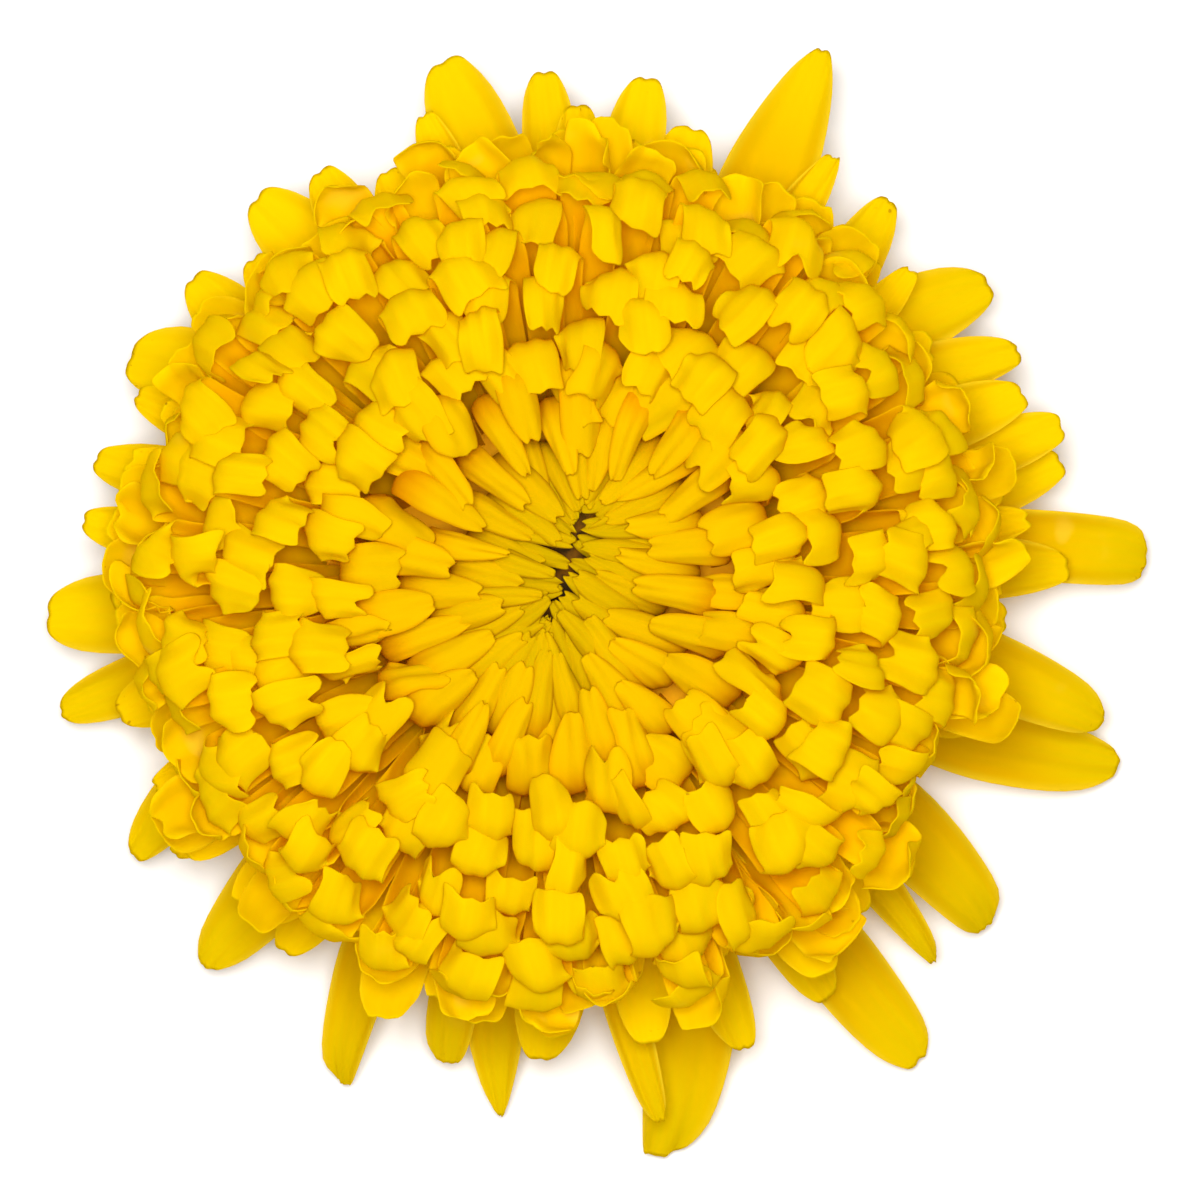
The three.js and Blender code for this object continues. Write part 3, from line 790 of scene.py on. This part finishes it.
def cup_radius(height):
    """Radius of the receptacle, which swells from the neck like a quarter of an ellipse."""
    u = (height - CUP_BOTTOM) / (CUP_TOP - CUP_BOTTOM)
    return NECK_RADIUS + (CUP_RADIUS - NECK_RADIUS) * math.sqrt(max(0, 1 - (1 - u) ** 2))


cup_rows = [(cup_radius(height), height) for height in CUP_HEIGHTS]
receptacle = turned("receptacle", cup_rows + [(10, CUP_TOP), (4, CUP_TOP)], ROUND)

BLANKS["bract"] = cut_blank(
    "bract", [0.8, 0.86, 0.92, 0.97, 1, 1, 0.97, 0.9, 0.77, 0.54, 0.14],
    [0.03, 0.01, 0, 0, 0, 0.01, 0.03],
)
# (how many, height of the tip, width)
BRACT_ROWS = [(10, 18.6, 5.2), (12, 21.2, 5.4), (14, 23.6, 5.4)]
BRACT_THICKNESS = 0.35
BRACT_STEPS = 14
BRACT_FOOT = 0.6  # above the bottom of the cup
BRACT_LIFT = 0.35  # off the wall of the cup
ROW_LIFT = 0.28  # more with each row
TIP_LIFT = 0.7


def bract(row, i, count, top, width):
    """A bract of one row, with its line up the wall of the cup."""
    foot = CUP_BOTTOM + BRACT_FOOT + row
    heights = np.linspace(foot, top + draw(i, 90 + row, 0.4), BRACT_STEPS)
    share = np.linspace(0, 1, BRACT_STEPS)
    lift = BRACT_LIFT + ROW_LIFT * row + TIP_LIFT * share**4
    line = np.array([(cup_radius(z) + up, z) for z, up in zip(heights, lift)])
    return {
        "blank": "bract", "line": line, "shown": 20,
        "bearing": (i + row / 2) * 360 / count + draw(i, 94 + row, 2.5),
        "aside": draw(i, 97 + row, 0.5), "sway": 2, "roll": draw(i, 100 + row, 8),
        "width": width * (1 + draw(i, 103 + row, 0.08)), "trough": 0.5, "open": 0.8,
        "point": 0, "slant": 0, "ripple": 0.08, "phase": i,
        "lump": 0.05, "fold": 0, "pleats": 3, "keel": 0.5, "veer": 0, "waist": 0,
        "age": row / 2, "tone": draw(i, 106 + row, 1),
    }


in_rows = [bract(row, i, *ring) for row, ring in enumerate(BRACT_ROWS) for i in range(ring[0])]
bracts = gather("bracts", in_rows, BRACT_THICKNESS)

# %% [markdown]
# The stem is cut just under the head. It has about ten soft ribs, widens into the neck, and shows a
# green rind, pale flesh and a little hollow in its cut end. Its ribs could be modelled one by one,
# but drawing in the points between them grooves a round stem in two moves.

# %% Stem
STEM_RIBS = 10
RIB_POINTS = 4  # points round the stem to each rib
RIB_TOP = 11  # the neck above this is smooth
GROOVE = 0.9
SHOULDER = 0.96
CUT_FACE = 0.01  # the cut face lies below this
# The rings of the cut face, from its edge inwards, and how deep the hollow in its middle is.
RIND = 0.5
FLESH = 1.6
PITH_EDGE = 0.4
PITH_DEPTH = 0.9
CREASE_ANGLE = 50
STEM_ROWS = [
    (3.6, 0), (3.7, 0.25), (3.65, 2.5), (3.6, 6), (3.7, 9), (4.0, 10.6), (4.4, 11.7), (3, 11.7),
]
stem = turned("stem_stub", STEM_ROWS, STEM_RIBS * RIB_POINTS)
bpy.ops.object.select_all(action="DESELECT")
stem.select_set(True)
bpy.context.view_layer.objects.active = stem
bpy.ops.object.mode_set(mode="EDIT")


def groove(wanted, scale):
    """Draws the chosen points of the stem towards its axis."""
    bpy.ops.mesh.select_all(action="DESELECT")
    bpy.ops.object.mode_set(mode="OBJECT")
    for point in stem.data.vertices:
        x, y = point.co.x - AXIS[0] * MM, point.co.y - AXIS[1] * MM
        part = round(math.degrees(math.atan2(y, x)) / 360 * STEM_RIBS * RIB_POINTS) % RIB_POINTS
        point.select = point.co.z < RIB_TOP * MM and part in wanted
    bpy.ops.object.mode_set(mode="EDIT")
    bpy.ops.transform.resize(
        value=(scale, scale, 1), center_override=(AXIS[0] * MM, AXIS[1] * MM, 0)
    )


bpy.ops.mesh.select_mode(type="VERT")
groove({2}, GROOVE)
groove({1, 3}, SHOULDER)
bpy.ops.mesh.select_mode(type="FACE")
bpy.ops.mesh.select_all(action="DESELECT")
bpy.ops.object.mode_set(mode="OBJECT")
for face in stem.data.polygons:
    face.select = face.center.z < CUT_FACE * MM
bpy.ops.object.mode_set(mode="EDIT")
bpy.ops.mesh.inset(thickness=RIND * MM)
bpy.ops.mesh.inset(thickness=FLESH * MM)
bpy.ops.mesh.inset(thickness=PITH_EDGE * MM, depth=-PITH_DEPTH * MM)
bpy.ops.object.mode_set(mode="OBJECT")
bpy.ops.object.shade_smooth_by_angle(angle=math.radians(CREASE_ANGLE))
stem.select_set(False)
print("stem", len(stem.data.polygons), "faces")

# %% [markdown]
# The colours are worked out from where a point lies on its own petal. Every floret carries a flat map
# of itself, u across and v from its foot to its tip, and two numbers: its age, which grows from the
# eye outwards, and its tone. A painted image could do the same, but sums on these need no image and
# stay sharp close by. Sums between shader sockets read best as sums, so a small class gives the
# sockets the usual operators.

# %% Shader helper
class Wire:
    """One output of a shader node, which can be reckoned with."""

    def __init__(self, tree, socket):
        self.tree = tree
        self.socket = socket

    def reckon(self, operation, first, second=0.0):
        return add(self.tree, "ShaderNodeMath", {"operation": operation}, {0: first, 1: second})

    def __add__(self, other):
        return self.reckon("ADD", self, other)

    def __sub__(self, other):
        return self.reckon("SUBTRACT", self, other)

    def __rsub__(self, other):
        return self.reckon("SUBTRACT", other, self)

    def __mul__(self, other):
        return self.reckon("MULTIPLY", self, other)

    def __pow__(self, other):
        return self.reckon("POWER", self, other)

    def __abs__(self):
        return self.reckon("ABSOLUTE", self)

    def sine(self):
        return self.reckon("SINE", self)

    def ramp(self, low, high):
        """0 below low, 1 above high, and a soft step between. It falls if low is above high."""
        settings = {"interpolation_type": "SMOOTHSTEP"}
        values = {"Value": self, "From Min": min(low, high), "From Max": max(low, high)}
        if low > high:
            values.update({"To Min": 1.0, "To Max": 0.0})
        return add(self.tree, "ShaderNodeMapRange", settings, values)

    __radd__ = __add__
    __rmul__ = __mul__


def plug(tree, place, value):
    """Links a wire to a socket, or sets the socket to a value."""
    if isinstance(value, Wire):
        tree.links.new(value.socket, place)
    else:
        place.default_value = value


def add(tree, kind, settings=None, values=None, output=0):
    """Any shader node, with its settings and the values or wires of its sockets."""
    node = tree.nodes.new(kind)
    for name, value in (settings or {}).items():
        setattr(node, name, value)
    for name, value in (values or {}).items():
        plug(tree, node.inputs[name], value)
    return Wire(tree, node.outputs[output])


def paint_for(name):
    """A new material with its tree and its shader."""
    made = bpy.data.materials.new(name)
    made.use_nodes = True
    return made, made.node_tree, made.node_tree.nodes["Principled BSDF"]


# %% What the paints read and how they mix
def parts_of(vector):
    """The three numbers of a vector."""
    split = vector.tree.nodes.new("ShaderNodeSeparateXYZ")
    plug(vector.tree, split.inputs[0], vector)
    return [Wire(vector.tree, socket) for socket in split.outputs]


def blade_map(tree):
    """Where a point lies on its blade: u across it, and v from its foot to its tip."""
    return parts_of(add(tree, "ShaderNodeUVMap", {"uv_map": "Blade"}))[:2]


def carried(tree, name):
    """A number that each floret carries, such as its age."""
    return add(tree, "ShaderNodeAttribute", {"attribute_name": name}, {}, "Fac")


def place_in(tree):
    """The place of a point, in metres."""
    return add(tree, "ShaderNodeTexCoord", {}, {}, "Object")


def noise(place, scale, detail):
    """A cloudy pattern from 0 to 1, finer with a larger scale."""
    values = {"Vector": place, "Scale": scale, "Detail": detail}
    return add(place.tree, "ShaderNodeTexNoise", {}, values)


def on_vector(operation, vector, values, output=0):
    """A Vector Math node on a vector."""
    settings = {"operation": operation}
    return add(vector.tree, "ShaderNodeVectorMath", settings, {0: vector, **values}, output)


def layered(color, layers):
    """A colour with tints laid over it in turn, each by its share."""
    for share, tint in layers:
        values = {0: share, 6: color, 7: tint}
        color = add(share.tree, "ShaderNodeMix", {"data_type": "RGBA"}, values, 2)
    return color


# %% [markdown]
# A petal is a saturated yellow that turns orange where petals light one another. Its foot is painted a
# deeper orange as shade, and it is a little greener in the eye. In the eye its edges and feet carry
# painted shade in their creases. The oldest, lowest florets are greener again, with painted ochre
# shade along the middle of their troughs and a pale painted highlight at their edges. Fine veins run
# along each petal, some bends carry a pale painted highlight on their crest, and a few clefts have
# begun to brown. More than half of the light that enters a petal goes through it. Subsurface
# scattering could show that, but on something this thin a translucent shader does the same and renders
# much faster.

# %% Petal paint
YELLOW = (0.95, 0.79, 0.0008, 1)
# ORANGE_SHADE_AND_VEINS is the painted orange shade at a petal's foot, and the colour of its veins.
ORANGE_SHADE_AND_VEINS = (0.99, 0.63, 0.0008, 1)
YOUNG = (0.86, 0.6, 0.0006, 1)
# CREASE_SHADE is painted shade for the creases between young florets.
CREASE_SHADE = (0.75, 0.3, 0.0005, 1)
GREENISH = (0.62, 0.47, 0.0006, 1)
SHADED = (0.22, 0.13, 0.002, 1)
OLD = (0.78, 0.7, 0.001, 1)
# OCHRE_SHADE is painted shade in the troughs of the long florets.
OCHRE_SHADE = (0.82, 0.5, 0.0006, 1)
# PALE_HIGHLIGHT is a painted highlight, on the edges of the oldest florets and on some crests.
PALE_HIGHLIGHT = (0.94, 0.76, 0.05, 1)
BROWN = (0.2, 0.07, 0.005, 1)
THROUGH = (0.995, 0.74, 0.0006, 1)  # colour of the light that goes through
THROUGH_SHARE = 0.58
VEINS = 44  # how closely the veins follow one another

petal, tree, shader = paint_for("petal")
u, v = blade_map(tree)
age = carried(tree, "age")
tone = carried(tree, "tone")
place = place_in(tree)
blotches = noise(place, 260.0, 0.0)
grain = noise(place, 1400.0, 0.0)

young = age.ramp(0.36, 0.2)
edge = abs(u - 0.5).ramp(0.36, 0.5)
vein = (u * VEINS + blotches * 2).sine() * 0.5 + 0.5
# A painted pale highlight on the crest of some bends, which are also a little glossier there.
crest = v.ramp(0.62, 0.72) * v.ramp(0.9, 0.8) * age.ramp(0.55, 0.75)
crest_highlight = crest * blotches.ramp(0.6, 0.78) * tone.ramp(0.1, 0.6)
singed = v.ramp(0.955, 0.99) * grain.ramp(0.74, 0.82) * tone.ramp(0.35, 0.5)
color = layered(YELLOW, [
    (young, YOUNG),
    # painted orange shade at the foot of every petal, where the petals shade one another
    (v.ramp(0.72, 0.35), ORANGE_SHADE_AND_VEINS),  # the foot of every petal
    # painted shade in the creases, on the edges and at the feet of young florets
    (young * edge * 0.5, CREASE_SHADE),
    (young * v.ramp(0.72, 0.45) * 0.6, CREASE_SHADE),
    (age.ramp(0.14, 0) * 0.7, GREENISH),  # the eye, and the edges in it
    (age.ramp(0.2, 0.02) * edge * 0.8, SHADED),
    (age.ramp(0.72, 0.92), OLD),
    # painted ochre shade along the middle of the long florets' troughs
    (age.ramp(0.62, 0.8) * v.ramp(0.95, 0.6) * (1 - edge) * 0.6, OCHRE_SHADE),
    (vein * v.ramp(0.3, 0.6) * 0.14, ORANGE_SHADE_AND_VEINS),
    # painted pale highlight on the edges of the oldest florets
    (age.ramp(0.72, 0.9) * edge * 0.45, PALE_HIGHLIGHT),  # the edges of the oldest
    # painted pale highlight on some crests
    (crest_highlight * 0.7, PALE_HIGHLIGHT),
    (singed * 0.8, BROWN),
])
lightness = 0.97 + tone * 0.03 + (grain - 0.5) * 0.03
plug(tree, shader.inputs["Base Color"], on_vector("SCALE", color, {"Scale": lightness}))
plug(tree, shader.inputs["Roughness"], 0.62 - crest_highlight * 0.2)
shader.inputs["Specular IOR Level"].default_value = 0.0
through = add(tree, "ShaderNodeBsdfTranslucent", {}, {"Color": THROUGH})
both = add(
    tree, "ShaderNodeMixShader", {},
    {0: THROUGH_SHARE - young * 0.1, 1: Wire(tree, shader.outputs[0]), 2: through},
)
plug(tree, tree.nodes["Material Output"].inputs["Surface"], both)
print("petal", len(tree.nodes), "nodes")

# %% [markdown]
# The imported bases are seen only through the gaps, and their colour is painted light: an orange glow
# between the hoods, where light comes down through many petals, and dark brown painted shade under the
# eye, where hardly any does. Two materials would leave a line between them, so one material goes by
# the distance from a point under the eye.

# %% Paint of the imported bases
BASE_PAINTED_SHADE = (0.05, 0.025, 0.002, 1)
BASE_PAINTED_GLOW = (0.88, 0.42, 0.0005, 1)
BASE_RUST = (0.7, 0.26, 0.001, 1)
UNDER_EYE = (AXIS[0] * MM, AXIS[1] * MM, 0.047)

bases_paint, tree, shader = paint_for("packed bases")
place = place_in(tree)
away = on_vector("DISTANCE", place, {1: UNDER_EYE}, "Value")
mottle = noise(place, 500.0, 3.0)
color = layered(BASE_PAINTED_SHADE, [
    # painted glow away from the eye, over painted shade under it
    (away.ramp(0.006, 0.016), BASE_PAINTED_GLOW),
    (mottle.ramp(0.4, 0.65) * 0.3, BASE_RUST),
])
plug(tree, shader.inputs["Base Color"], color)
plug(tree, shader.inputs["Roughness"], 0.75 + mottle * 0.1)
shader.inputs["Specular IOR Level"].default_value = 0.15
print("packed bases", len(tree.nodes), "nodes")

# %% [markdown]
# The bracts are dull green with a darker keel, a pale, thin edge and a tip that has begun to dry. The
# flat map of each bract tells where its keel and edges are, so no bract needs paint of its own. The
# cup under them is paler and plainly mottled.

# %% Paint of the bracts
KEEL_GREEN = (0.05, 0.13, 0.02, 1)
BRACT_GREEN = (0.14, 0.27, 0.05, 1)
BRACT_PALE = (0.2, 0.3, 0.08, 1)
PAPERY = (0.52, 0.47, 0.25, 1)
DRIED = (0.3, 0.17, 0.06, 1)

bract_paint, tree, shader = paint_for("bract")
u, v = blade_map(tree)
mottle = noise(place_in(tree), 700.0, 3.0)
off_keel = abs(u - 0.5) * 2
color = layered(KEEL_GREEN, [
    (off_keel.ramp(0, 0.5), BRACT_GREEN),
    (mottle.ramp(0.4, 0.7) * 0.4, BRACT_PALE),
    (off_keel.ramp(0.78, 0.98), PAPERY),
    (v.ramp(0.93, 1) * 0.7, DRIED),
])
lightness = 0.95 + carried(tree, "tone") * 0.12
plug(tree, shader.inputs["Base Color"], on_vector("SCALE", color, {"Scale": lightness}))
plug(tree, shader.inputs["Roughness"], 0.6 + mottle * 0.15)
shader.inputs["Specular IOR Level"].default_value = 0.3
ridges = (u * 60).sine() * 0.5 + mottle
relief = add(tree, "ShaderNodeBump", {}, {"Strength": 0.3, "Distance": 0.0002, "Height": ridges})
plug(tree, shader.inputs["Normal"], relief)
print("bract", len(tree.nodes), "nodes")

# %% Paint of the receptacle
CUP_GREEN = (0.13, 0.23, 0.05, 1)
CUP_PALE = (0.25, 0.36, 0.1, 1)

cup_paint, tree, shader = paint_for("receptacle")
mottle = noise(place_in(tree), 450.0, 4.0)
color = layered(CUP_GREEN, [(mottle.ramp(0.35, 0.65), CUP_PALE)])
plug(tree, shader.inputs["Base Color"], color)
plug(tree, shader.inputs["Roughness"], 0.6 + mottle * 0.2)
shader.inputs["Specular IOR Level"].default_value = 0.3
print("receptacle", len(tree.nodes), "nodes")

# %% [markdown]
# The stem is green and streaked along its ribs. Streaks are the same noise as everywhere, read from
# places that are squeezed along the stem. The cut face is pale, with a darker ring of rind, and is
# told from the bark by its height and its distance from the axis.

# %% Paint of the stem
RIND_GREEN = (0.12, 0.22, 0.03, 1)
RIND_PALE = (0.3, 0.4, 0.1, 1)
FLESH_PALE = (0.62, 0.6, 0.4, 1)
FLESH_GREEN = (0.42, 0.5, 0.2, 1)
PITH = (0.55, 0.5, 0.33, 1)
SQUEEZED = (1, 1, 0.08)

stem_paint, tree, shader = paint_for("stem")
place = place_in(tree)
x, y, z = parts_of(place)
x = x - float(AXIS[0] * MM)
y = y - float(AXIS[1] * MM)
from_axis = (x * x + y * y) ** 0.5
streaks = noise(on_vector("MULTIPLY", place, {1: SQUEEZED}), 1500.0, 3.0)
flesh = layered(FLESH_PALE, [(from_axis.ramp(0.0008, 0.0019), FLESH_GREEN)])
on_cut = z.ramp(0.0003, 0.0001) * from_axis.ramp(0.0033, 0.003)
in_pith = z.ramp(0.0014, 0.0011) * from_axis.ramp(0.0016, 0.0013)
color = layered(RIND_GREEN, [
    (streaks.ramp(0.35, 0.65), RIND_PALE),
    (on_cut, flesh),
    (in_pith, PITH),
])
plug(tree, shader.inputs["Base Color"], color)
plug(tree, shader.inputs["Roughness"], 0.55 + streaks * 0.2)
shader.inputs["Specular IOR Level"].default_value = 0.35
relief = add(tree, "ShaderNodeBump", {}, {"Strength": 0.3, "Distance": 0.0003, "Height": streaks})
plug(tree, shader.inputs["Normal"], relief)
print("stem", len(tree.nodes), "nodes")

# %% [markdown]
# Every piece rides on the one rigid body of the bloom and takes the place of the solid it refines.
# The blanks have done their work and are taken away.

# %% Places
PIECES = [
    (eye_florets, petal, "ray_florets", "petal"),
    (crown_florets, petal, "ray_florets", "petal"),
    (flank_florets, petal, "ray_florets", "petal"),
    (outer_florets, petal, "ray_florets", "petal"),
    (side_florets, petal, "ray_florets", "petal"),
    (skirt_florets, petal, "ray_florets", "petal"),
    (floret_bases, bases_paint, "ray_florets", "petal"),
    (bracts, bract_paint, "involucre", "bract"),
    (receptacle, cup_paint, "involucre", "bract"),
    (stem, stem_paint, "stem", "stem"),
]
for piece, paint, node, slot in PIECES:
    piece.data.materials.clear()
    piece.data.materials.append(paint)
    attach(piece, "root")
    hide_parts(node)
for blank in BLANKS.values():
    bpy.data.objects.remove(blank)
print("pieces", [piece.name for piece, paint, node, slot in PIECES])
